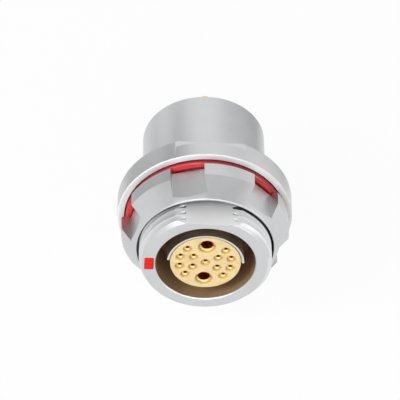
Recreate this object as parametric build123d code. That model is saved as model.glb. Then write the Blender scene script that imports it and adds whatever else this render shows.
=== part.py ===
from build123d import *

import math
import os

# Sealed panel receptacle of a push-pull circular connector, with socket contacts.
# The mating axis lies along Y. The mating face looks towards -Y, the solder tails point towards +Y,
# and the origin is the centre of the flange face that bears on the back of the panel.
# All sizes are in millimetres. Radial sizes are built up from the contact insert outwards.

# Clearances
FIT = 0.03  # radial room between pieces that are stacked or pressed together
NUT_RUN = 0.05  # radial room between the nut and the crests of the shell's thread

# Signal contacts, set on an inner and an outer circle round one in the centre
SIGNAL_PIN_DIA = 0.4
SIGNAL_DIA = 0.8
SIGNAL_TAIL_DIA = 0.6
SIGNAL_PITCH = 1.7  # from the centre contact to the inner circle
INNER_ANGLES = (60, 120, 240, 300)
CIRCLE_STEP = 1.45  # from the inner circle to the outer one
OUTER_STEP = 28.8  # angle between neighbours; four lie on each side of the insert

# Power contacts, one above and one below the centre
POWER_PIN_DIA = 1.4
POWER_DIA = 1.8
POWER_TAIL_DIA = 1.4
POWER_ANGLES = (0, 180)
POWER_EDGE = 0.62  # insert left outside a power contact
POWER_SLIT = 0.15  # slit that makes the socket springy
POWER_SLIT_LENGTH = 4.0
CUP_WALL = 0.15  # solder cup in the tail
CUP_DEPTH = 2.4

# Features that all contacts share
PIN_PLAY = 0.02  # diametral room for a pin in its socket
SOCKET_DEPTH = 5.0
CONTACT_RECESS = 0.25  # contact mouth behind the insert face
FUNNEL_DEPTH = 0.15
FUNNEL_LIP = 0.05  # rim left round the funnel
HOLE_LEAD_IN = 0.2  # chamfer round each hole in the insert face
TAIL_LENGTH = 4.35  # past the rear rim of the shell

# Contact insert and half-round guide
INSERT_EDGE = 0.67  # insert left outside the outer circle of contacts
FACE_RECESS = 0.3  # insert face behind the front face of the shell
INSERT_LIP = 0.5  # height and thickness of the lip that stops the insert in the guide
GUIDE_WALL = 0.37
GUIDE_RECESS = 0.25  # front edge of the guide behind the front face of the shell
GUIDE_LEAD_IN = 0.15  # chamfer inside the guide's front edge
GUIDE_RISE = 0.25  # ends of the half-round guide above the centre
COLLAR_WIDTH = 1.5  # collar that locates the guide in the rear cavity
COLLAR_THICK = 1.0

# Shell, front
PLUG_GAP = 1.35  # room for the plug's nose between the guide and the bore
PLUG_DEPTH = 9.5
BORE_LEAD_IN = 0.15
SHELL_WALL = 2.0  # from the bore to the thread's crests
FLAT_DEPTH = 1.15  # flat that stops the shell turning in the panel
FRONT_CHAMFER = 0.6
THREAD_SHOW = 2.6  # thread in front of the nut
LATCH_SETBACK = 5.6  # latch groove behind the front face
LATCH_WIDTH = 1.4
LATCH_DEPTH = 0.45
WEB = 1.5  # wall between the plug's cavity and the rear cavity

# Alignment mark, an enamel-filled pocket in the front face
MARK_LENGTH = 2.0
MARK_WIDTH = 1.15
MARK_DEPTH = 0.4
MARK_CORNER = 0.2
MARK_ANGLE = 268  # clockwise from the top, seen from the front

# Sealing ring and the flange that carries it
RING_SECTION = 1.5
RING_SLACK = 0.25  # radial room between the ring and the thread
RING_PROUD = 0.45  # how far the ring stands out of its groove
GROOVE_SIDE = 0.05
GROOVE_EDGE = 0.4  # width of the chamfer at the groove's outer edge
GROOVE_EDGE_DEPTH = 0.15
SEAT_WIDTH = 0.3  # flat ring that bears on the panel
FLANGE_FLOOR = 1.95  # flange left behind the groove
FLANGE_FRONT_EDGE = 0.12
FLANGE_REAR_EDGE = 0.15
SPANNER_FLAT = 0.87  # depth of the two spanner flats at the back of the flange
SPANNER_THICK = 1.0

# Rear barrel
BARREL_WALL = 1.34
BARREL_EDGE = 0.3
RIM_RECESS = 0.75  # retaining ring behind the rear rim

# Round panel nut with spanner notches
NUT_WALL = 2.1
NUT_THICK = 4.7
NUT_GAP = 0.25  # nut in front of the sealing ring
NUT_RIM = 2.15  # straight part of the outside
NUT_FRONT_WALL = 0.25
NUT_EDGE = 0.3
NUT_COUNTERSINK = 0.15
NOTCH_COUNT = 6
NOTCH_WIDTH = 4.2
NOTCH_DEPTH = 1.4
NOTCH_ANGLE = -16.4  # first notch, clockwise from the top, seen from the front

# Rear insulator and the ring that retains it
REAR_BLOCK = 7.2
RETAINER_WIDTH = 1.2
RETAINER_THICK = 1.5
RETAINER_SLOT = 1.2
RETAINER_SLOT_DEPTH = 0.7

# Radii that follow
signal_hole_r = SIGNAL_DIA / 2 + FIT
power_hole_r = POWER_DIA / 2 + FIT
inner_circle_r = SIGNAL_PITCH
outer_circle_r = inner_circle_r + CIRCLE_STEP
insert_r = outer_circle_r + signal_hole_r + INSERT_EDGE
power_circle_r = insert_r - POWER_EDGE - power_hole_r
guide_in_r = insert_r + FIT
guide_r = guide_in_r + GUIDE_WALL
bore_r = guide_r + PLUG_GAP
thread_r = bore_r + SHELL_WALL
flat_z = thread_r - FLAT_DEPTH
ring_mean_r = thread_r + RING_SLACK + RING_SECTION / 2
groove_r = ring_mean_r + RING_SECTION / 2 + GROOVE_SIDE
seat_in_r = groove_r + GROOVE_EDGE
seat_out_r = seat_in_r + SEAT_WIDTH
flange_r = seat_out_r + FLANGE_FRONT_EDGE
collar_r = guide_r + COLLAR_WIDTH
cavity_r = collar_r + FIT
barrel_r = cavity_r + BARREL_WALL
nut_bore_r = thread_r + NUT_RUN
nut_r = nut_bore_r + NUT_WALL
notch_floor_r = nut_r - NOTCH_DEPTH

# Stations along the axis that follow, from front to rear
groove_floor_y = RING_SECTION - RING_PROUD
flange_rear_y = groove_floor_y + FLANGE_FLOOR
nut_rear_y = -(RING_PROUD + NUT_GAP)
nut_front_y = nut_rear_y - NUT_THICK
front_y = nut_front_y - THREAD_SHOW
guide_front_y = front_y + GUIDE_RECESS
face_y = front_y + FACE_RECESS
mouth_y = face_y + CONTACT_RECESS
web_front_y = front_y + PLUG_DEPTH
web_rear_y = web_front_y + WEB
block_front_y = web_rear_y + COLLAR_THICK
block_rear_y = block_front_y + REAR_BLOCK
retainer_rear_y = block_rear_y + RETAINER_THICK
rim_y = retainer_rear_y + RIM_RECESS
tail_end_y = rim_y + TAIL_LENGTH


def turned(*corners):
    """Solid of revolution about the Y axis from its (radius, y) corners."""
    return revolve(make_face(Polyline(*corners, close=True)), Axis.Y)


def rod(radius, y_start, y_end):
    """Plain cylinder on the Y axis."""
    return turned((0, y_start), (radius, y_start), (radius, y_end), (0, y_end))


def on_circle(radius, angles):
    """Places on a contact circle; angles run clockwise from the top, seen from the front."""
    return [
        Pos(radius * math.sin(math.radians(a)), 0, radius * math.cos(math.radians(a)))
        for a in angles
    ]


def spaced(count, first=0):
    """Turns about the Y axis, evenly spaced, clockwise from the top, seen from the front."""
    return [Rot(0, first + 360 * i / count, 0) for i in range(count)]


outer_angles = [side + OUTER_STEP * (i - 1.5) for side in (90, 270) for i in range(4)]
signal_places = [Pos(0, 0, 0)]
signal_places += on_circle(inner_circle_r, INNER_ANGLES)
signal_places += on_circle(outer_circle_r, outer_angles)
power_places = on_circle(power_circle_r, POWER_ANGLES)


def drill(block, signal_tool, power_tool):
    """Cuts one tool at every signal place and the other at every power place."""
    tools = [place * signal_tool for place in signal_places]
    tools += [place * power_tool for place in power_places]
    return block - tools


def mark_block(depth, shrink=0.0):
    """Rounded block of the alignment mark, from the front face inwards."""
    middle_r = (bore_r + BORE_LEAD_IN + thread_r - FRONT_CHAMFER) / 2
    length = MARK_LENGTH - 2 * shrink
    width = MARK_WIDTH - 2 * shrink
    outline = RectangleRounded(length, width, MARK_CORNER)
    block = extrude(Plane.XZ * outline, -depth)
    return Rot(0, MARK_ANGLE, 0) * Pos(0, front_y, middle_r) * block


def shell():
    """Turned body: threaded front with one flat, flange with ring groove and spanner flats, rear barrel."""
    body = turned(
        (bore_r + BORE_LEAD_IN, front_y),
        (thread_r - FRONT_CHAMFER, front_y),
        (thread_r, front_y + FRONT_CHAMFER),
        (thread_r, groove_floor_y),
        (groove_r, groove_floor_y),
        (groove_r, GROOVE_EDGE_DEPTH),
        (seat_in_r, 0),
        (seat_out_r, 0),
        (flange_r, FLANGE_FRONT_EDGE),
        (flange_r, flange_rear_y - FLANGE_REAR_EDGE),
        (flange_r - FLANGE_REAR_EDGE, flange_rear_y),
        (barrel_r, flange_rear_y),
        (barrel_r, rim_y),
        (cavity_r, rim_y),
        (cavity_r, web_rear_y),
        (guide_r + FIT, web_rear_y),
        (guide_r + FIT, web_front_y),
        (bore_r, web_front_y),
        (bore_r, front_y + LATCH_SETBACK + LATCH_WIDTH),
        (bore_r + LATCH_DEPTH, front_y + LATCH_SETBACK + LATCH_WIDTH),
        (bore_r + LATCH_DEPTH, front_y + LATCH_SETBACK),
        (bore_r, front_y + LATCH_SETBACK),
        (bore_r, front_y + BORE_LEAD_IN),
    )
    rim_edge = body.edges().filter_by(GeomType.CIRCLE).group_by(Axis.Y)[-1].sort_by(SortBy.RADIUS)[-1]
    body = fillet(rim_edge, BARREL_EDGE)
    flat_length = groove_floor_y - front_y
    flat_width = 2 * (math.sqrt(thread_r**2 - flat_z**2) + FIT)
    flat_side = Box(flat_width, flat_length, FLAT_DEPTH, align=(Align.CENTER, Align.MIN, Align.MIN))
    spanner_side = Box(
        2 * flange_r,
        SPANNER_THICK,
        SPANNER_FLAT,
        align=(Align.CENTER, Align.MAX, Align.MIN),
    )
    body -= Pos(0, front_y, flat_z) * flat_side
    for turn in spaced(2):
        body -= turn * Pos(0, flange_rear_y, flange_r - SPANNER_FLAT) * spanner_side
    return body - mark_block(MARK_DEPTH)


def alignment_mark():
    """Enamel that fills the pocket in the front face."""
    return mark_block(MARK_DEPTH, FIT)


def panel_nut():
    """Round nut with a conical front and spanner notches, drawn up on the shell's thread."""
    cone_foot_r = nut_bore_r + NUT_COUNTERSINK + NUT_FRONT_WALL
    body = turned(
        (nut_bore_r + NUT_COUNTERSINK, nut_front_y),
        (cone_foot_r, nut_front_y),
        (nut_r, nut_rear_y - NUT_RIM),
        (nut_r, nut_rear_y - NUT_EDGE),
        (nut_r - NUT_EDGE, nut_rear_y),
        (nut_bore_r + NUT_COUNTERSINK, nut_rear_y),
        (nut_bore_r, nut_rear_y - NUT_COUNTERSINK),
        (nut_bore_r, nut_front_y + NUT_COUNTERSINK),
    )
    notch = Box(NOTCH_WIDTH, NUT_THICK, nut_r, align=(Align.CENTER, Align.MIN, Align.MIN))
    notch = Pos(0, nut_front_y, notch_floor_r) * notch
    return body - [turn * notch for turn in spaced(NOTCH_COUNT, NOTCH_ANGLE)]


def sealing_ring():
    """Round-section ring that lies in the flange groove."""
    centre_y = groove_floor_y - RING_SECTION / 2
    return Pos(0, centre_y, 0) * Rot(90, 0, 0) * Torus(ring_mean_r, RING_SECTION / 2)


def guide_sleeve():
    """Guide tube round the insert; its lower half is cut away so that the plug fits one way only."""
    counterbore_r = insert_r + INSERT_LIP + FIT
    tube = turned(
        (guide_in_r, guide_front_y + GUIDE_LEAD_IN),
        (guide_in_r + GUIDE_LEAD_IN, guide_front_y),
        (guide_r, guide_front_y),
        (guide_r, web_rear_y),
        (collar_r, web_rear_y),
        (collar_r, block_front_y),
        (counterbore_r, block_front_y),
        (counterbore_r, block_front_y - INSERT_LIP),
        (guide_in_r, block_front_y - INSERT_LIP),
    )
    lower = Box(
        4 * guide_r,
        web_front_y - guide_front_y,
        2 * guide_r,
        align=(Align.CENTER, Align.MIN, Align.MAX),
    )
    return tube - Pos(0, guide_front_y, GUIDE_RISE) * lower


def insert_hole(hole_r):
    """Tool for one contact hole through the front insulator."""
    return turned(
        (0, face_y),
        (hole_r + HOLE_LEAD_IN, face_y),
        (hole_r, face_y + HOLE_LEAD_IN),
        (hole_r, block_front_y),
        (0, block_front_y),
    )


def front_insulator():
    """Insert that carries the socket ends of the contacts."""
    block = turned(
        (0, face_y),
        (insert_r, face_y),
        (insert_r, block_front_y - INSERT_LIP),
        (insert_r + INSERT_LIP, block_front_y - INSERT_LIP),
        (insert_r + INSERT_LIP, block_front_y),
        (0, block_front_y),
    )
    return drill(block, insert_hole(signal_hole_r), insert_hole(power_hole_r))


def rear_insulator():
    """Block behind the insert; its smaller holes back the contacts when pins are pushed in."""
    block = rod(collar_r, block_front_y, block_rear_y)
    signal_tool = rod(SIGNAL_TAIL_DIA / 2 + FIT, block_front_y, block_rear_y)
    power_tool = rod(POWER_TAIL_DIA / 2 + FIT, block_front_y, block_rear_y)
    return drill(block, signal_tool, power_tool)


def retaining_ring():
    """Ring screwed into the rear cavity against the rear insulator, with two driver slots."""
    inner_r = collar_r - RETAINER_WIDTH
    ring = turned(
        (inner_r, block_rear_y),
        (collar_r, block_rear_y),
        (collar_r, retainer_rear_y),
        (inner_r, retainer_rear_y),
    )
    slot = Box(
        4 * collar_r,
        RETAINER_SLOT_DEPTH,
        RETAINER_SLOT,
        align=(Align.CENTER, Align.MAX, Align.CENTER),
    )
    return ring - Pos(0, retainer_rear_y, 0) * slot


def socket_contact(contact_dia, pin_dia, tail_dia):
    """Turned socket contact: funnel mouth, deep socket and a thinner tail."""
    outer_r = contact_dia / 2
    socket_r = (pin_dia + PIN_PLAY) / 2
    tail_r = tail_dia / 2
    socket_end_y = mouth_y + SOCKET_DEPTH
    return turned(
        (socket_r, mouth_y + FUNNEL_DEPTH),
        (outer_r - FUNNEL_LIP, mouth_y),
        (outer_r, mouth_y),
        (outer_r, block_front_y),
        (tail_r, block_front_y),
        (tail_r, tail_end_y),
        (0, tail_end_y),
        (0, socket_end_y),
        (socket_r, socket_end_y),
    )


def power_contact():
    """Socket contact with slit sides and a solder cup in its tail."""
    body = socket_contact(POWER_DIA, POWER_PIN_DIA, POWER_TAIL_DIA)
    slit = Box(
        2 * POWER_DIA,
        POWER_SLIT_LENGTH,
        POWER_SLIT,
        align=(Align.CENTER, Align.MIN, Align.CENTER),
    )
    body -= Pos(0, mouth_y, 0) * slit
    return body - rod(POWER_TAIL_DIA / 2 - CUP_WALL, tail_end_y - CUP_DEPTH, tail_end_y)


def pieces():
    """Every piece of the receptacle by name, in place."""
    made = {
        "shell": shell(),
        "panel_nut": panel_nut(),
        "sealing_ring": sealing_ring(),
        "alignment_mark": alignment_mark(),
        "guide_sleeve": guide_sleeve(),
        "front_insulator": front_insulator(),
        "rear_insulator": rear_insulator(),
        "retaining_ring": retaining_ring(),
    }
    signal = socket_contact(SIGNAL_DIA, SIGNAL_PIN_DIA, SIGNAL_TAIL_DIA)
    for number, place in enumerate(signal_places, 1):
        made[f"signal_contact_{number:02d}"] = place * signal
    power = power_contact()
    for number, place in enumerate(power_places, 1):
        made[f"power_contact_{number:02d}"] = place * power
    return made


os.makedirs("parts", exist_ok=True)
for name, piece in pieces().items():
    export_step(piece, f"parts/{name}.step")
    box = piece.bounding_box().size
    print(f"{name}: {piece.volume:.3f} mm3, {box.X:.2f} x {box.Y:.2f} x {box.Z:.2f} mm")
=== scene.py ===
import math

import bmesh
import bpy
from mathutils import Matrix, Vector


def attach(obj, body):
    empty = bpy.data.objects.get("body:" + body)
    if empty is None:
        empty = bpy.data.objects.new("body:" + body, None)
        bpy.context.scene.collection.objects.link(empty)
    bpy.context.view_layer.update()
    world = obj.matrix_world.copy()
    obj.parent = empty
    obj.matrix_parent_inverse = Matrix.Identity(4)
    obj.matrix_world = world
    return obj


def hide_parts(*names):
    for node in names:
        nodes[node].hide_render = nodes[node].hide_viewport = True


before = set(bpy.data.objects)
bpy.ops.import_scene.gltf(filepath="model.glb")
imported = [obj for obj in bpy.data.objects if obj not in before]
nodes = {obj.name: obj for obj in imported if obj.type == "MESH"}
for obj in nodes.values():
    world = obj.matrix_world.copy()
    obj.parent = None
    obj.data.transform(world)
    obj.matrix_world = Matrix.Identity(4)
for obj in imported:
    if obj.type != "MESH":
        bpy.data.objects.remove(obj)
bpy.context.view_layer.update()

MM = 0.001

# Sizes of the turned pieces in millimetres, as in the CAD model
FRONT_Y = -8.0
FRONT_CHAMFER = 0.6
THREAD_R = 8.0
FLAT_R = 6.85
GROOVE_FLOOR_Y = 1.05
SPANNER_FLAT_R = 9.75
NUT_FRONT_Y = -5.4
NUT_RIM_Y = -2.85  # where the nut's cone ends
NUT_EDGE_Y = -1.0  # where its rear chamfer begins
NUT_REAR_Y = -0.7
NUT_R = 10.15
NUT_REAR_R = 9.85
NUT_BORE_R = 8.05
NOTCH_COUNT = 6
NOTCH_FLOOR_R = 8.75
NOTCH_HALF = 2.1
NOTCH_ANGLE = -16.4
RING_R = 9.0
RING_SECTION_R = 0.75
RING_Y = 0.3

# Fineness of the meshes
COLUMNS = 240  # faces round a turned piece
ROUND_STEPS = 4  # faces in a rounded corner
RING_POINTS = 40  # faces round the seal's section
MERGE = 2e-7  # metres between two points that become one
CREASE_ANGLE = 32


def row_of(radius, y):
    """One ring of points on the Y axis, its first point repeated at the end."""
    turns = [2 * math.pi * j / COLUMNS for j in range(COLUMNS + 1)]
    return [(radius * math.sin(t), y, radius * math.cos(t)) for t in turns]


def rounded(corners):
    """Profile points with each (radius, y, rounding) corner drawn as a small curve.

    The last corner is left out: it only gives the lines beside it their direction.
    """
    points = []
    for i, (r, y, size) in enumerate(corners[:-1]):
        here = Vector((r, y))
        before = Vector(corners[i - 1][:2]) - here
        after = Vector(corners[i + 1][:2]) - here
        start = here + before.normalized() * size
        end = here + after.normalized() * size
        for k in range(ROUND_STEPS + 1):
            s = k / ROUND_STEPS
            points.append((1 - s) ** 2 * start + 2 * s * (1 - s) * here + s**2 * end)
    return points


def new_object(name, mesh):
    obj = bpy.data.objects.new(name, mesh)
    bpy.context.scene.collection.objects.link(obj)
    return obj


def grid_object(name, rows):
    """Closed mesh from rings of points; the last ring joins the first one."""
    width = len(rows[0])
    verts = [Vector(p) * MM for row in rows for p in row]
    faces = []
    for i in range(len(rows)):
        here, there = i * width, (i + 1) % len(rows) * width
        for j in range(width - 1):
            faces.append((here + j, here + j + 1, there + j + 1, there + j))
    mesh = bpy.data.meshes.new(name)
    mesh.from_pydata(verts, [], faces)
    tidy(mesh)
    return new_object(name, mesh)


def tidy(mesh):
    """Merges points that coincide and turns every face outwards."""
    bm = bmesh.new()
    bm.from_mesh(mesh)
    bmesh.ops.remove_doubles(bm, verts=bm.verts, dist=MERGE)
    bmesh.ops.dissolve_degenerate(bm, edges=bm.edges, dist=MERGE)
    bmesh.ops.recalc_face_normals(bm, faces=bm.faces)
    bm.to_mesh(mesh)
    bm.free()


def shade(obj):
    """Smooth shading with creases kept, also between materials, and flat faces kept flat."""
    obj.data.shade_smooth()
    obj.data.set_sharp_from_angle(angle=math.radians(CREASE_ANGLE))
    bm = bmesh.new()
    bm.from_mesh(obj.data)
    for edge in bm.edges:
        if len({face.material_index for face in edge.link_faces}) > 1:
            edge.smooth = False
    bm.to_mesh(obj.data)
    bm.free()
    weighted = obj.modifiers.new("weighted", "WEIGHTED_NORMAL")
    weighted.mode = "FACE_AREA"
    weighted.keep_sharp = True


def cut(obj, cutter):
    """Takes the cutter out of obj and removes the cutter."""
    boolean = obj.modifiers.new("cut", "BOOLEAN")
    boolean.operation = "DIFFERENCE"
    boolean.solver = "EXACT"
    boolean.object = cutter
    graph = bpy.context.evaluated_depsgraph_get()
    mesh = bpy.data.meshes.new_from_object(obj.evaluated_get(graph))
    obj.modifiers.clear()
    old = obj.data
    obj.data = mesh
    mesh.name = obj.name
    bpy.data.meshes.remove(old)
    bpy.data.objects.remove(cutter)


def edge_ring(obj, y):
    """Adds edges all round the object at a station, so that a material can end there."""
    bm = bmesh.new()
    bm.from_mesh(obj.data)
    everything = bm.verts[:] + bm.edges[:] + bm.faces[:]
    bmesh.ops.bisect_plane(bm, geom=everything, dist=MERGE, plane_co=(0, y * MM, 0), plane_no=(0, 1, 0))
    bm.to_mesh(obj.data)
    bm.free()


def side_blocks(name, count, width, span, floor_r, height):
    """Cutting blocks spaced round the Y axis, from floor_r outwards and along a span of stations."""
    mesh = bpy.data.meshes.new(name)
    bm = bmesh.new()
    for k in range(count):
        box = bmesh.ops.create_cube(bm, size=1.0)["verts"]
        place = Matrix.Rotation(math.radians(360 * k / count), 4, "Y")
        place @= Matrix.Translation(Vector((0, sum(span) / 2, floor_r + height / 2)) * MM)
        place @= Matrix.Diagonal(Vector((width, span[1] - span[0], height)) * MM).to_4x4()
        bmesh.ops.transform(bm, matrix=place, verts=box)
    bm.to_mesh(mesh)
    bm.free()
    return new_object(name, mesh)


# Materials

NOISE_SPAN = (0.3, 0.7)  # noise values over which colours and roughness run
LINES_PER_M = 6000.0  # fineness of the turning lines
LINE_DEPTH = 0.00001
LINE_ROUGHNESS = 0.03  # how far the lines change the roughness
CLOUD_SCALE = 420.0
GRAIN_DEPTH = 0.00002
DRIFT_RATIO = 6  # how much coarser the colour drift is than the grain


def new_material(name):
    material = bpy.data.materials.new(name)
    material.use_nodes = True
    tree = material.node_tree
    return material, tree, tree.nodes["Principled BSDF"]


def set_surface(material, **values):
    """Sets uniform values on a material's shader; an underscore in a name stands for a space."""
    inputs = material.node_tree.nodes["Principled BSDF"].inputs
    for key, value in values.items():
        inputs[key.replace("_", " ")].default_value = value


def add(tree, kind, **values):
    """New node; values name its properties, or its inputs where they start with a capital."""
    node = tree.nodes.new(kind)
    for key, value in values.items():
        if key[0].isupper():
            node.inputs[key.replace("_", " ")].default_value = value
        else:
            setattr(node, key, value)
    return node


def turned_coords(tree, scale):
    """Object coordinates, and scaled ones that run with the radius and the axis.

    Noise on the second ones lies in turning lines.
    """
    links = tree.links
    coords = add(tree, "ShaderNodeTexCoord")
    parts = add(tree, "ShaderNodeSeparateXYZ")
    links.new(coords.outputs["Object"], parts.inputs[0])
    flat = add(tree, "ShaderNodeCombineXYZ")
    links.new(parts.outputs["X"], flat.inputs["X"])
    links.new(parts.outputs["Z"], flat.inputs["Y"])
    radius = add(tree, "ShaderNodeVectorMath", operation="LENGTH")
    links.new(flat.outputs[0], radius.inputs[0])
    joined = add(tree, "ShaderNodeCombineXYZ")
    links.new(radius.outputs["Value"], joined.inputs["X"])
    links.new(parts.outputs["Y"], joined.inputs["Y"])
    scaled = add(tree, "ShaderNodeVectorMath", operation="SCALE")
    scaled.inputs["Scale"].default_value = scale
    links.new(joined.outputs[0], scaled.inputs[0])
    return coords, scaled


def ramp(tree, fac, low, high):
    """Colours from low to high over a noise value."""
    node = add(tree, "ShaderNodeValToRGB")
    for step, position, colour in zip(node.color_ramp.elements, NOISE_SPAN, (low, high)):
        step.position = position
        step.color = (*colour, 1)
    tree.links.new(fac, node.inputs["Fac"])
    return node.outputs["Color"]


def spread(tree, fac, low, high):
    """A value from low to high over a noise value."""
    start, end = NOISE_SPAN
    node = add(tree, "ShaderNodeMapRange", From_Min=start, From_Max=end, To_Min=low, To_Max=high)
    tree.links.new(fac, node.inputs["Value"])
    return node.outputs["Result"]


def bump(tree, bsdf, height, strength, distance):
    node = add(tree, "ShaderNodeBump", Strength=strength, Distance=distance)
    tree.links.new(height, node.inputs["Height"])
    tree.links.new(node.outputs["Normal"], bsdf.inputs["Normal"])


def painted_recess_shade(tree, colour, shade_colour, stations, measure="Y"):
    """Colour that turns to a darker tone in recesses, as painted shade; stations are (place, share of the
    shade tone).

    The place is in millimetres along the axis, as Y, or out from it, as X.
    """
    places = turned_coords(tree, 1 / MM)[1]
    parts = add(tree, "ShaderNodeSeparateXYZ")
    tree.links.new(places.outputs[0], parts.inputs[0])
    first, last = stations[0][0], stations[-1][0]
    along = add(tree, "ShaderNodeMapRange", From_Min=first, From_Max=last)
    tree.links.new(parts.outputs[measure], along.inputs["Value"])
    share = add(tree, "ShaderNodeValToRGB")
    steps = share.color_ramp.elements
    while len(steps) < len(stations):
        steps.new(0.5)
    for step, (place, amount) in zip(steps, stations):
        step.position = (place - first) / (last - first)
        step.color = (amount, amount, amount, 1)
    tree.links.new(along.outputs["Result"], share.inputs["Fac"])
    mixed = add(tree, "ShaderNodeMix", data_type="RGBA")
    tree.links.new(share.outputs["Color"], mixed.inputs["Factor"])
    tree.links.new(colour, mixed.inputs["A"])
    mixed.inputs["B"].default_value = (*shade_colour, 1)
    return mixed.outputs["Result"]


def turned_metal(name, low, high, rough, line_strength, shade_colour=None, stations=()):
    """Plated or bare metal with turning lines and faint cloudy wear, and painted shade in recesses where
    a shade colour is given.
    """
    material, tree, bsdf = new_material(name)
    coords, lines_at = turned_coords(tree, LINES_PER_M)
    lines = add(tree, "ShaderNodeTexNoise", Scale=1.0, Detail=3.0, Roughness=0.6)
    tree.links.new(lines_at.outputs[0], lines.inputs["Vector"])
    clouds = add(tree, "ShaderNodeTexNoise", Scale=CLOUD_SCALE, Detail=4.0, Roughness=0.55)
    tree.links.new(coords.outputs["Object"], clouds.inputs["Vector"])
    bsdf.inputs["Metallic"].default_value = 1.0
    colour = ramp(tree, clouds.outputs["Fac"], low, high)
    if shade_colour:
        colour = painted_recess_shade(tree, colour, shade_colour, stations)
    tree.links.new(colour, bsdf.inputs["Base Color"])
    mixed = add(tree, "ShaderNodeMath", operation="ADD")
    tree.links.new(spread(tree, clouds.outputs["Fac"], *rough), mixed.inputs[0])
    tree.links.new(spread(tree, lines.outputs["Fac"], -LINE_ROUGHNESS, LINE_ROUGHNESS), mixed.inputs[1])
    tree.links.new(mixed.outputs[0], bsdf.inputs["Roughness"])
    bump(tree, bsdf, lines.outputs["Fac"], line_strength, LINE_DEPTH)
    return material


def moulded(name, low, high, rough, scale, strength, shade_colour=None, stations=(), measure="Y"):
    """Moulded material with faint colour drift and a fine grain, and painted shade in recesses where a
    shade colour is given.
    """
    material, tree, bsdf = new_material(name)
    coords = add(tree, "ShaderNodeTexCoord")
    drift = add(tree, "ShaderNodeTexNoise", Scale=scale / DRIFT_RATIO, Detail=3.0)
    grain = add(tree, "ShaderNodeTexNoise", Scale=scale, Detail=5.0, Roughness=0.65)
    for node in (drift, grain):
        tree.links.new(coords.outputs["Object"], node.inputs["Vector"])
    colour = ramp(tree, drift.outputs["Fac"], low, high)
    if shade_colour:
        colour = painted_recess_shade(tree, colour, shade_colour, stations, measure)
    tree.links.new(colour, bsdf.inputs["Base Color"])
    tree.links.new(spread(tree, grain.outputs["Fac"], *rough), bsdf.inputs["Roughness"])
    bump(tree, bsdf, grain.outputs["Fac"], strength, GRAIN_DEPTH)
    return material


plated = turned_metal("plated", (0.63, 0.64, 0.645), (0.66, 0.67, 0.675), (0.34, 0.4), 0.04)
faced = turned_metal("faced", (0.85, 0.85, 0.855), (0.9, 0.9, 0.905), (0.6, 0.7), 0.06)
set_surface(faced, Metallic=0.3)
thread_metal = turned_metal("thread_metal", (0.74, 0.75, 0.755), (0.78, 0.79, 0.795), (0.42, 0.5), 0.04)
nut_plated = turned_metal("nut_plated", (0.6, 0.61, 0.615), (0.64, 0.65, 0.655), (0.34, 0.4), 0.04)
# Painted shade: a near-black copy of the plating for the thread under the nut and the nut's inside, where
# shade falls
painted_shade_metal = turned_metal("painted_shade_metal", (0.06, 0.06, 0.06), (0.1, 0.1, 0.1), (0.4, 0.5), 0.1)
guide_plated = turned_metal("guide_plated", (0.7, 0.69, 0.67), (0.76, 0.75, 0.73), (0.34, 0.42), 0.05)
bore_metal = turned_metal("bore_metal", (0.38, 0.255, 0.145), (0.44, 0.3, 0.175), (0.3, 0.4), 0.05)
set_surface(bore_metal, Metallic=0.35)
brass = turned_metal("brass", (0.6, 0.45, 0.2), (0.68, 0.52, 0.25), (0.22, 0.32), 0.1)
# Painted shade and reflection: behind the mouth the contacts turn a deep reddish gold, as inside the
# socket holes; the tails at the back are plain gold again
gold = turned_metal(
    "gold", (0.84, 0.6, 0.25), (0.92, 0.68, 0.31), (0.24, 0.34), 0.06,
    shade_colour=(0.95, 0.34, 0.16), stations=[(-7.3, 0), (-7.0, 1), (8.0, 1), (12.0, 0)],
)
# Painted shade: the insulator turns a deeper tan just below its face, in the countersinks round the
# contacts
cream = moulded(
    "cream", (0.83, 0.63, 0.31), (0.9, 0.71, 0.38), (0.38, 0.5), 6000.0, 0.08,
    shade_colour=(0.66, 0.42, 0.13), stations=[(-7.69, 0), (-7.6, 1)],
)
set_surface(cream, Subsurface_Weight=0.25, Subsurface_Scale=0.0004)
rear_cream = moulded("rear_cream", (0.74, 0.58, 0.32), (0.82, 0.66, 0.4), (0.4, 0.55), 6000.0, 0.1)
set_surface(rear_cream, Subsurface_Weight=0.2, Subsurface_Scale=0.0004)
# Painted shade: the seal turns dark red towards its outer edge, next to the groove wall
rubber = moulded(
    "rubber", (0.54, 0.014, 0.018), (0.64, 0.02, 0.024), (0.16, 0.24), 5000.0, 0.06,
    shade_colour=(0.2, 0.004, 0.008), stations=[(9.48, 0), (9.68, 1)], measure="X",
)
set_surface(rubber, Specular_IOR_Level=0.2, Coat_Weight=0.5, Coat_Roughness=0.08, Coat_IOR=1.6)
enamel = moulded("enamel", (0.8, 0.014, 0.008), (0.86, 0.02, 0.012), (0.22, 0.32), 3000.0, 0.08)
set_surface(enamel, Specular_IOR_Level=0.12)


# Shell, with the thread drawn as a helix

THREAD_PITCH = 1.0
THREAD_DEPTH = 0.6
THREAD_START = 0.4  # first crest behind the front face, at the top
THREAD_STEPS = 12  # faces along one pitch
CREST_HALF = 0.07  # half of a crest's width, as a share of the pitch
FLANK = 0.27  # width of a flank, as a share of the pitch
THREAD_END_Y = 0.6
THREAD_FADE = 0.8  # length over which the thread runs out


def thread_drop(phase):
    """How far the thread lies under its crest at a place counted in pitches."""
    away = abs(phase - round(phase))
    slope = min(max((away - CREST_HALF) / FLANK, 0.0), 1.0)
    return THREAD_DEPTH * slope * slope * (3 - 2 * slope)


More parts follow.
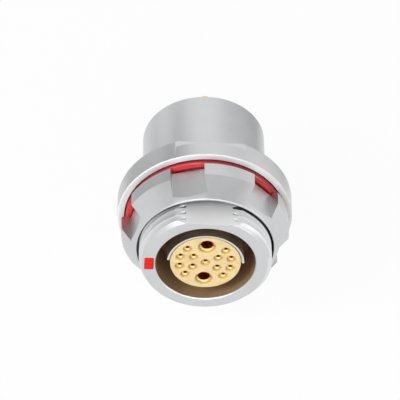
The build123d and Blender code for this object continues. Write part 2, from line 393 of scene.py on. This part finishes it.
def thread_radius(y, turn):
    """Radius of the threaded front at a station and a turn about the axis."""
    fade = min(max((THREAD_END_Y - y) / THREAD_FADE, 0.0), 1.0)
    phase = (y - FRONT_Y - THREAD_START) / THREAD_PITCH - turn / (2 * math.pi)
    crest = THREAD_R - fade * thread_drop(phase)
    cone = THREAD_R - FRONT_CHAMFER + y - FRONT_Y
    return min(crest, cone)


def thread_rows(start, end):
    """Rings that run along the helix between two stations."""
    rows = []
    count = int((end - start) / THREAD_PITCH * THREAD_STEPS) + 2 * THREAD_STEPS
    for k in range(count):
        row = []
        for j in range(COLUMNS + 1):
            turn = 2 * math.pi * j / COLUMNS
            y = start + THREAD_PITCH * (k / THREAD_STEPS - 1 + turn / (2 * math.pi))
            y = min(max(y, start), end)
            r = thread_radius(y, turn)
            row.append((r * math.sin(turn), y, r * math.cos(turn)))
        rows.append(row)
    return rows


# Section of the shell as (radius, y, rounding): seal groove, flange, barrel, bore and front face
shell_corners = [
    (8.0, GROOVE_FLOOR_Y, 0.1),
    (9.8, GROOVE_FLOOR_Y, 0.1),
    (9.81, 0.03, 0.02),
    (9.84, 0.0, 0.02),
    (10.5, 0.0, 0.04),
    (10.62, 0.12, 0.04),
    (10.62, 2.85, 0.06),
    (10.47, 3.0, 0.06),
    (7.52, 3.0, 0.12),
    (7.52, 13.45, 0.3),
    (6.18, 13.45, 0.12),
    (6.18, 3.0, 0.05),
    (4.68, 3.0, 0.05),
    (4.68, 1.5, 0.05),
    (6.0, 1.5, 0.1),
    (6.0, -1.0, 0.04),
    (6.45, -1.0, 0.06),
    (6.45, -2.4, 0.06),
    (6.0, -2.4, 0.06),
    (6.0, -7.85, 0.05),
    (6.15, FRONT_Y, 0.05),
    (7.4, FRONT_Y, 0.07),
    (8.0, -7.4, 0.0),
]
shell_profile = rounded(shell_corners)
shell_rows = [row_of(p.x, p.y) for p in shell_profile]
shell_rows += thread_rows(shell_profile[-1].y, shell_profile[0].y)
shell = grid_object("shell_turned", shell_rows)

MARK_R = 6.775
MARK_TURN = math.radians(268)
MARK_POINTS = 36  # points round the mark's outline
LEAST_CORNER = 0.05


def mark_block(name, levels, half_length, half_width, corner):
    """Block with a rounded rectangular outline in the front face, one loop for each (inset, y) level."""
    outwards = Vector((math.sin(MARK_TURN), 0, math.cos(MARK_TURN)))
    along = Vector((math.cos(MARK_TURN), 0, -math.sin(MARK_TURN)))
    verts, faces = [], []
    for inset, y in levels:
        size = max(corner - inset, LEAST_CORNER)
        for k in range(MARK_POINTS):
            a = 2 * math.pi * (k + 0.5) / MARK_POINTS
            s = math.copysign(half_length - inset - size, math.cos(a)) + size * math.cos(a)
            r = math.copysign(half_width - inset - size, math.sin(a)) + size * math.sin(a)
            verts.append((outwards * (MARK_R + r) + along * s + Vector((0, y, 0))) * MM)
    for i in range(len(levels) - 1):
        here, there = i * MARK_POINTS, (i + 1) * MARK_POINTS
        for k in range(MARK_POINTS):
            follow = (k + 1) % MARK_POINTS
            faces.append((here + k, here + follow, there + follow, there + k))
    faces.append(tuple(range(MARK_POINTS)))
    faces.append(tuple(range((len(levels) - 1) * MARK_POINTS, len(levels) * MARK_POINTS)))
    mesh = bpy.data.meshes.new(name)
    mesh.from_pydata(verts, [], faces)
    tidy(mesh)
    return new_object(name, mesh)


pocket_levels = [(0, FRONT_Y - 0.5), (0, FRONT_Y + 0.4)]
cut(shell, mark_block("mark_pocket", pocket_levels, half_length=1.0, half_width=0.575, corner=0.2))
flat_span = (FRONT_Y - 1, GROOVE_FLOOR_Y)
cut(shell, side_blocks("flat", 1, width=9, span=flat_span, floor_r=FLAT_R, height=1.3))
spanner_span = (2.0, 3.2)
cut(shell, side_blocks("spanner_flats", 2, width=24, span=spanner_span, floor_r=SPANNER_FLAT_R, height=2))
tidy(shell.data)

# Where the shell's faces change material, in millimetres; the thread under the nut gets painted shade, a
# near-black metal
SHADE_Y = -4.9
BORE_LIMIT_R = 6.44
BORE_SPAN = (-7.84, 1.6)
BAND_R = 9.7
BAND_SPAN = (-0.01, 0.12)
THREAD_ROOT_R = 7.3
THREAD_SPAN = (-7.6, SHADE_Y)
SHADE_SPAN = (SHADE_Y, -0.8)
LEVEL_NORMAL = 0.999  # least upward part of a level face's normal
FLAT_NEAR = 0.01
PLATED, BORE, FACED, THREAD, PAINTED_SHADE = range(5)


def within(value, span):
    return span[0] < value < span[1]


def shell_material(face):
    """Which of the shell's materials a face has, by its place."""
    out_r = math.hypot(face.center.x, face.center.z) / MM
    y = face.center.y / MM
    on_flat = face.normal.z > LEVEL_NORMAL and abs(face.center.z / MM - FLAT_R) < FLAT_NEAR
    if out_r < BORE_LIMIT_R and within(y, BORE_SPAN):
        return BORE
    if on_flat or (out_r > BAND_R and within(y, BAND_SPAN)):
        return FACED
    if out_r > THREAD_ROOT_R and within(y, THREAD_SPAN):
        return THREAD
    # Painted shade on the thread inside the nut
    if out_r > THREAD_ROOT_R and within(y, SHADE_SPAN):
        return PAINTED_SHADE
    return PLATED


edge_ring(shell, SHADE_Y)
shell.data.materials.clear()
for material in (plated, bore_metal, faced, thread_metal, painted_shade_metal):
    shell.data.materials.append(material)
for face in shell.data.polygons:
    face.material_index = shell_material(face)
shade(shell)

mark_levels = [(0, -7.6), (0, -7.93), (0.015, -7.965), (0.05, -7.988), (0.12, -7.998), (0.25, FRONT_Y)]
mark = mark_block("mark_fill", mark_levels, half_length=0.97, half_width=0.545, corner=0.19)
mark.data.materials.append(enamel)
shade(mark)


# Nut, drawn in columns that follow its notches, with bevelled edges

CONE = ((8.45, NUT_FRONT_Y), (NUT_R, NUT_RIM_Y))
NUT_SHADE_R = 8.27  # the nut's faces inside this radius get painted shade, a near-black metal
nut_corners = [
    (8.2, NUT_REAR_Y, 0.03),
    (NUT_BORE_R, -0.85, 0.03),
    (NUT_BORE_R, -5.0, 0.03),
    (8.28, NUT_FRONT_Y, 0.03),
    (*CONE[0], 0.13),
    (*CONE[1], 0.0),
]
nut_inside = [tuple(p) for p in rounded(nut_corners)]
nut_outside = [CONE[1], (NUT_R, NUT_EDGE_Y), (NUT_REAR_R, NUT_REAR_Y)]


def notch_column(x):
    """Outer points of the nut across a notch, as (sideways, height, y)."""
    (r0, y0), (r1, y1) = CONE
    cone_y = y0 + (math.hypot(x, NOTCH_FLOOR_R) - r0) * (y1 - y0) / (r1 - r0)
    return [(x, NOTCH_FLOOR_R, y) for y in (cone_y, NUT_EDGE_Y, NUT_REAR_Y)]


def nut_columns(land_steps=24, notch_steps=10):
    """Columns of points round the nut, its notches with parallel sides and flat floors."""
    columns = []
    notch_step = 360 / NOTCH_COUNT
    for k in range(NOTCH_COUNT):
        turn = Matrix.Rotation(math.radians(NOTCH_ANGLE + notch_step * k), 4, "Y")
        for j in range(notch_steps + 1):
            x = NOTCH_HALF * (2 * j / notch_steps - 1)
            column = [(x, math.sqrt(r * r - x * x), y) for r, y in nut_inside] + notch_column(x)
            columns.append([turn @ Vector((x, y, h)) for x, h, y in column])
        for j in range(land_steps + 1):
            column = []
            for r, y in nut_inside + nut_outside:
                side = math.asin(NOTCH_HALF / r)
                a = side + (math.radians(notch_step) - 2 * side) * j / land_steps
                column.append(turn @ Vector((r * math.sin(a), y, r * math.cos(a))))
            columns.append(column)
    return columns


columns = nut_columns()
columns.append(columns[0])
nut = grid_object("nut_turned", [list(row) for row in zip(*columns)])
nut.data.materials.append(nut_plated)
nut.data.materials.append(painted_shade_metal)
# Painted shade on the nut's bore and lead-ins
for face in nut.data.polygons:
    if math.hypot(face.center.x, face.center.z) < NUT_SHADE_R * MM:
        face.material_index = 1
edges = nut.modifiers.new("edges", "BEVEL")
edges.width = 0.09 * MM
edges.segments = 3
edges.limit_method = "ANGLE"
edges.angle_limit = math.radians(25)
shade(nut)


# Sealing ring

section = [2 * math.pi * k / RING_POINTS for k in range(RING_POINTS)]
ring_rows = [
    row_of(RING_R + RING_SECTION_R * math.cos(a), RING_Y + RING_SECTION_R * math.sin(a)) for a in section
]
ring = grid_object("seal_round", ring_rows)
ring.data.materials.append(rubber)
ring.data.shade_smooth()

for piece, body, node, slot in (
    (shell, "receptacle", "shell", "plated_metal"),
    (nut, "nut", "panel_nut", "plated_metal"),
    (ring, "receptacle", "sealing_ring", "seal_rubber"),
    (mark, "receptacle", "alignment_mark", "mark_enamel"),
):
    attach(piece, body)
    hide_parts(node)

node_materials = {
    "guide_sleeve": guide_plated,
    "front_insulator": cream,
    "rear_insulator": rear_cream,
    "retaining_ring": brass,
}
for name, node in nodes.items():
    material = gold if "contact" in name else node_materials.get(name)
    if material:
        node.data.materials.clear()
        node.data.materials.append(material)


# Floor, world and lights

AMBIENT = 0.3  # the world's light on the object, where the background that is seen has 1
FLOOR_WHITE = 0.95  # share of plain white in the floor that is seen; the rest keeps the shadow
FLOOR_Z = -10.64
FLOOR = 3000


def seen_rays(tree):
    """1 for camera, glossy and transmission rays."""
    path = add(tree, "ShaderNodeLightPath")
    total = add(tree, "ShaderNodeMath", operation="MAXIMUM")
    tree.links.new(path.outputs["Is Camera Ray"], total.inputs[0])
    tree.links.new(path.outputs["Is Glossy Ray"], total.inputs[1])
    both = add(tree, "ShaderNodeMath", operation="MAXIMUM")
    tree.links.new(total.outputs[0], both.inputs[0])
    tree.links.new(path.outputs["Is Transmission Ray"], both.inputs[1])
    return both.outputs[0]


def plate(name, corners, material):
    mesh = bpy.data.meshes.new(name)
    mesh.from_pydata([Vector(c) * MM for c in corners], [], [(0, 1, 2, 3)])
    obj = new_object(name, mesh)
    mesh.materials.append(material)


world = bpy.data.worlds.new("studio")
bpy.context.scene.world = world
world.use_nodes = True
tree = world.node_tree
background = tree.nodes["Background"]
background.inputs["Color"].default_value = (1, 1, 1, 1)
strength = add(tree, "ShaderNodeMapRange", To_Min=AMBIENT)
tree.links.new(seen_rays(tree), strength.inputs["Value"])
tree.links.new(strength.outputs["Result"], background.inputs["Strength"])

floor_material, tree, bsdf = new_material("pale_floor")
bsdf.inputs["Base Color"].default_value = (0.9, 0.9, 0.9, 1)
bsdf.inputs["Roughness"].default_value = 0.9
glow = add(tree, "ShaderNodeEmission", Strength=1.0)
share = add(tree, "ShaderNodeMath", operation="MULTIPLY")
share.inputs[1].default_value = FLOOR_WHITE
tree.links.new(seen_rays(tree), share.inputs[0])
both = add(tree, "ShaderNodeMixShader")
tree.links.new(share.outputs[0], both.inputs[0])
tree.links.new(bsdf.outputs[0], both.inputs[1])
tree.links.new(glow.outputs[0], both.inputs[2])
tree.links.new(both.outputs[0], tree.nodes["Material Output"].inputs["Surface"])
floor_corners = [(x * FLOOR, y * FLOOR, FLOOR_Z) for x, y in ((-1, -1), (1, -1), (1, 1), (-1, 1))]
plate("floor", floor_corners, floor_material)


def lamp(name, place, size, power, height=None):
    """Area lamp aimed at the origin; a height makes it a rectangle."""
    light = bpy.data.lights.new(name, "AREA")
    light.shape = "RECTANGLE" if height else "DISK"
    light.size = size * MM
    light.size_y = (height or size) * MM
    light.energy = power
    obj = bpy.data.objects.new(name, light)
    bpy.context.scene.collection.objects.link(obj)
    place = Vector(place) * MM
    turn = place.to_track_quat("Z", "Y").to_matrix().to_4x4()
    obj.matrix_world = Matrix.Translation(place) @ turn
    return obj


lamp("front", (-60, -430, 330), 900, 1.15, 350)
lamp("glint_left", (-100, -380, 270), 110, 0.09)
lamp("glint_right", (300, -260, 60), 90, 0.08)
lamp("key", (-450, -260, 380), 300, 2.3).visible_glossy = False


# Graded grey cards near the object, seen only in reflections

TABLE_Z = FLOOR_Z + 0.5
CARD_NEAR_Y = 24
CARD_FAR_Y = 400


def card_material():
    material, tree, bsdf = new_material("card")
    tree.nodes.remove(bsdf)
    tone = add(tree, "ShaderNodeAttribute", attribute_name="tone")
    glow = add(tree, "ShaderNodeEmission", Strength=1.0)
    tree.links.new(tone.outputs["Color"], glow.inputs["Color"])
    tree.links.new(glow.outputs[0], tree.nodes["Material Output"].inputs["Surface"])
    return material


grey_card = card_material()


def card(name, near, far, tones):
    """Card between two lines of points; each pair of points has one tone."""
    mesh = bpy.data.meshes.new(name)
    count = len(near)
    faces = [(i, i + 1, count + i + 1, count + i) for i in range(count - 1)]
    mesh.from_pydata([Vector(p) * MM for p in near + far], [], faces)
    layer = mesh.color_attributes.new("tone", "FLOAT_COLOR", "POINT")
    for i, tone in enumerate(tones + tones):
        layer.data[i].color = (tone, tone, tone, 1)
    mesh.materials.append(grey_card)
    obj = new_object(name, mesh)
    obj.visible_camera = False
    obj.visible_diffuse = False
    obj.visible_shadow = False
    obj.visible_transmission = False


def long_card(name, line):
    """Card beside the barrel from (x, z, tone) points, drawn out along the axis."""
    near = [(x, CARD_NEAR_Y, z) for x, z, _ in line]
    far = [(x, CARD_FAR_Y, z) for x, z, _ in line]
    card(name, near, far, [tone for _, _, tone in line])


card(
    "card_right",
    [(26, 14, TABLE_Z), (26, 31, 24), (26, 31, 75)],
    [(26, CARD_FAR_Y, TABLE_Z), (26, CARD_FAR_Y, 24), (26, CARD_FAR_Y, 75)],
    [0.46, 0.68, 1.0],
)
long_card("card_left", [(-60, 18, 1.0), (-60, 38, 0.68), (-60, 52, 0.72), (-60, 90, 1.0)])
long_card("card_low", [(-100, TABLE_Z, 1.0), (-52, TABLE_Z, 0.7), (-20, TABLE_Z, 1.0)])
card("card_top", [(-600, -240, 320), (-600, 30, 320)], [(400, -240, 320), (400, 30, 320)], [0.52, 0.52])
card("card_over", [(-45, -10, 30), (-45, 40, 30)], [(-11, -10, 30), (-11, 22, 30)], [0.3, 0.3])
card("card_rim", [(-30, 10, TABLE_Z), (-30, 27, TABLE_Z)], [(-30, 10, 18), (-30, 27, 18)], [0.52, 0.52])


# Camera at the photograph's viewing angle

AZIMUTH = math.radians(-0.58)
ELEVATION = math.radians(45.19)
TURN = math.radians(4.2)
DISTANCE = 407.62
AIM = Vector((-0.55, 2.92, 0))
LENS = 300.24
SENSOR_WIDTH = 36
CLIP_START = 0.01
back = Vector((
    math.sin(AZIMUTH) * math.cos(ELEVATION),
    -math.cos(AZIMUTH) * math.cos(ELEVATION),
    math.sin(ELEVATION),
))
camera_data = bpy.data.cameras.new("camera")
camera_data.lens = LENS
camera_data.sensor_width = SENSOR_WIDTH
camera_data.clip_start = CLIP_START
camera = bpy.data.objects.new("camera", camera_data)
bpy.context.scene.collection.objects.link(camera)
facing = back.to_track_quat("Z", "Y").to_matrix().to_4x4()
placed = Matrix.Translation((AIM + back * DISTANCE) * MM) @ facing
camera.matrix_world = Matrix.Rotation(-TURN, 4, "Y") @ placed
bpy.context.scene.camera = camera
bpy.context.scene.view_settings.view_transform = "Standard"
